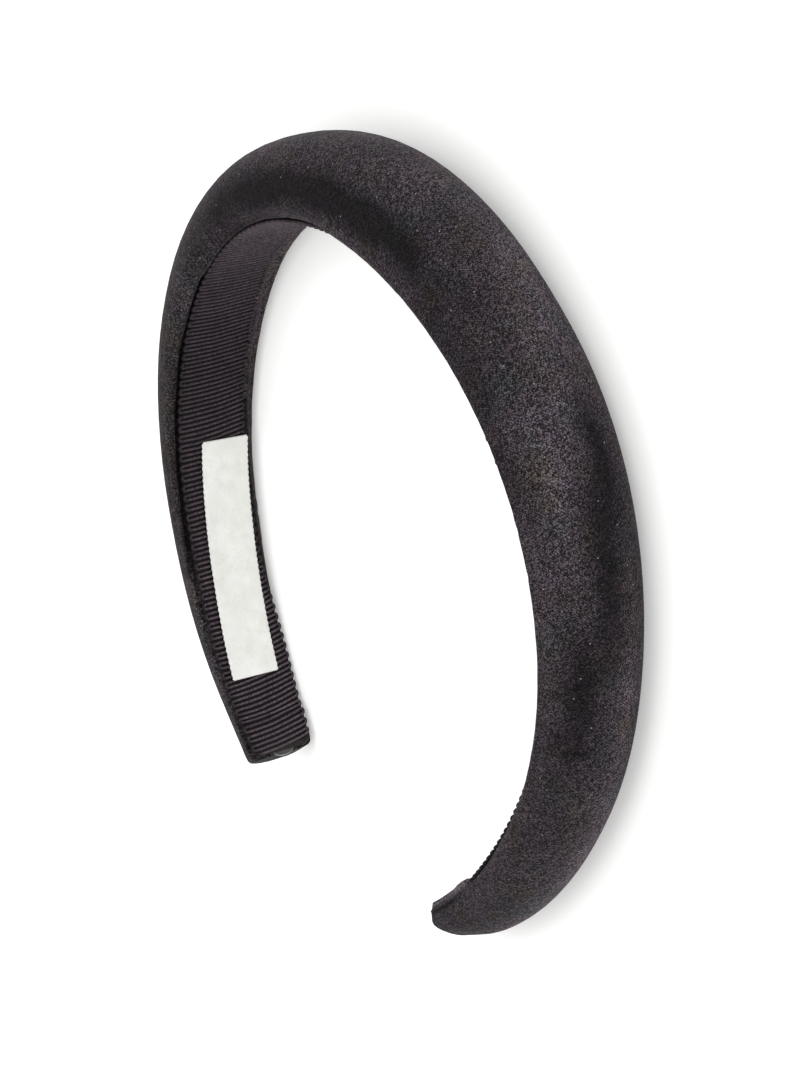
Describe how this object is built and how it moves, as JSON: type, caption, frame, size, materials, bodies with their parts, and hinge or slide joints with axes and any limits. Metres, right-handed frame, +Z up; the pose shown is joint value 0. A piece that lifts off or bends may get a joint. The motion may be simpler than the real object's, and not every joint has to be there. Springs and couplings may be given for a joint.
{
  "type": "padded headband",
  "caption": "Padded velvet headband with a deep rounded crown tapering to both tips, a ribbed ribbon lining and a blank woven label inside one arm, lying on its side.",
  "frame": {"origin": "centre of the bounding box at the surface that the band lies on", "axes": "+X across the arch from the left arm to the right, +Y from the tips to the crown, +Z up across the width of the band"},
  "size_m": [0.1626, 0.1526, 0.0258],
  "materials": {
    "velvet": "matte pile with a soft sheen",
    "grosgrain": "ribbed, low sheen",
    "satin": "soft satin",
    "core": "glossy"
  },
  "bodies": {
    "root": {"velvet_pad": "velvet", "grosgrain_lining": "grosgrain", "satin_label": "satin", "core_tip_left": "core", "core_tip_right": "core"}
  },
  "joints": []
}
